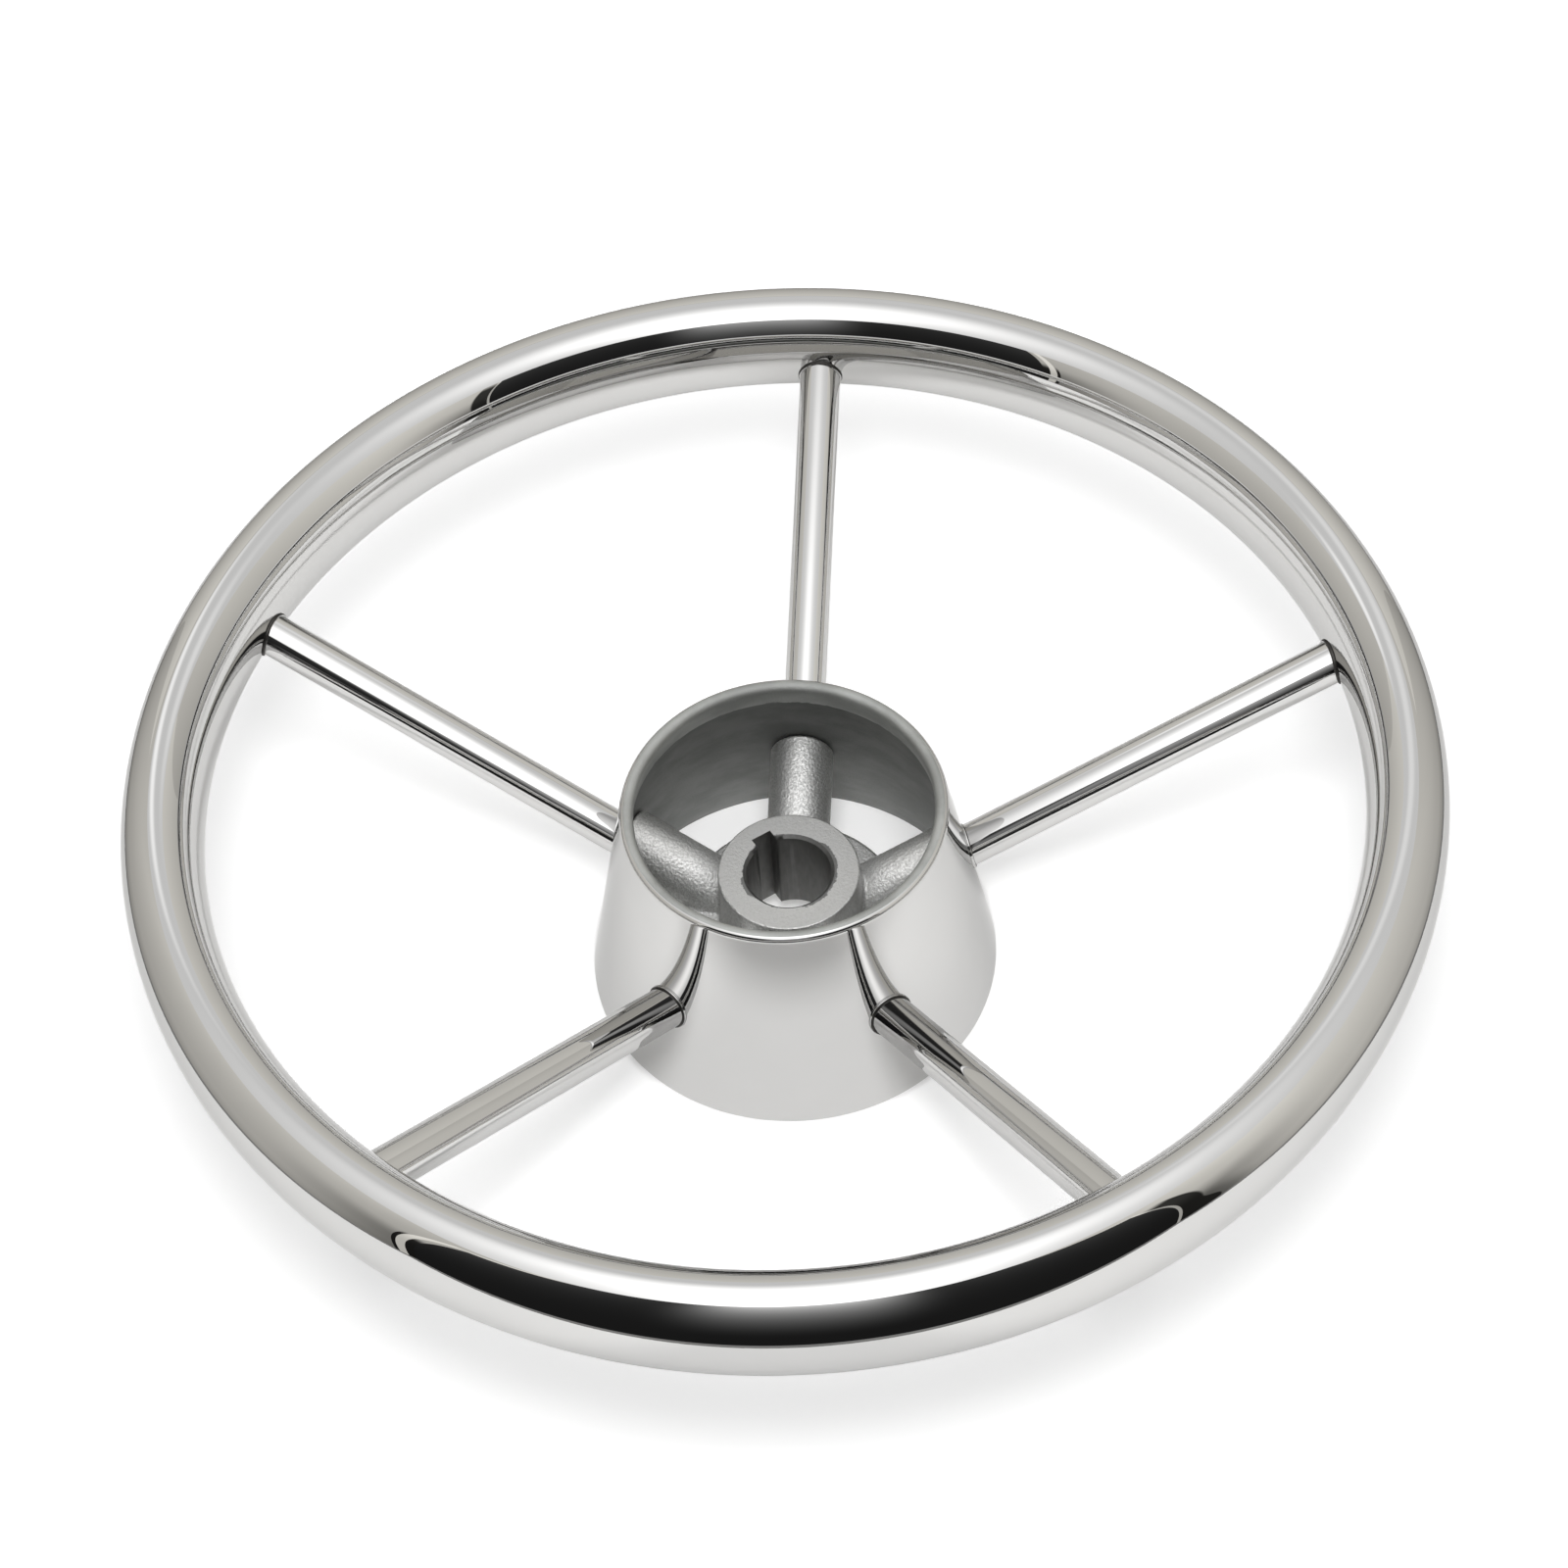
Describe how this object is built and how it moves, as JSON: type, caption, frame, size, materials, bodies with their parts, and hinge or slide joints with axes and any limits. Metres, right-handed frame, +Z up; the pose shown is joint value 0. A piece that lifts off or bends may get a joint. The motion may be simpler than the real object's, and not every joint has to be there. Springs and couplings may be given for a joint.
{
  "type": "boat steering wheel",
  "caption": "Dished stainless boat steering wheel: hollow oval rim, round tube spokes and a hemmed hub cone around a cast, keyed boss.",
  "frame": {"origin": "centre of the hub cone's foot, on the wheel's axis, in the plane that the cone stands on", "axes": "+Z up the wheel's axis, from the dash towards the steerer; +Y towards the first spoke; +X to the right of it"},
  "size_m": [0.28, 0.28, 0.0807],
  "materials": {
    "polished_rim": "mirror-polished stainless steel tube",
    "polished_spoke": "mirror-polished stainless steel tube",
    "polished_cone": "polished outside, dull and grained inside",
    "cast_stainless": "as-cast and shot-blasted, with a turned boss face and bore",
    "weld_metal": "dressed and polished weld"
  },
  "bodies": {
    "root": {"rim_tube": "polished_rim", "spoke_1": "polished_spoke", "spoke_2": "polished_spoke", "spoke_3": "polished_spoke", "spoke_4": "polished_spoke", "spoke_5": "polished_spoke", "hub_cone": "polished_cone", "hub_spider": "cast_stainless", "rim_weld_beads": "weld_metal", "hub_weld_beads": "weld_metal"}
  },
  "joints": []
}
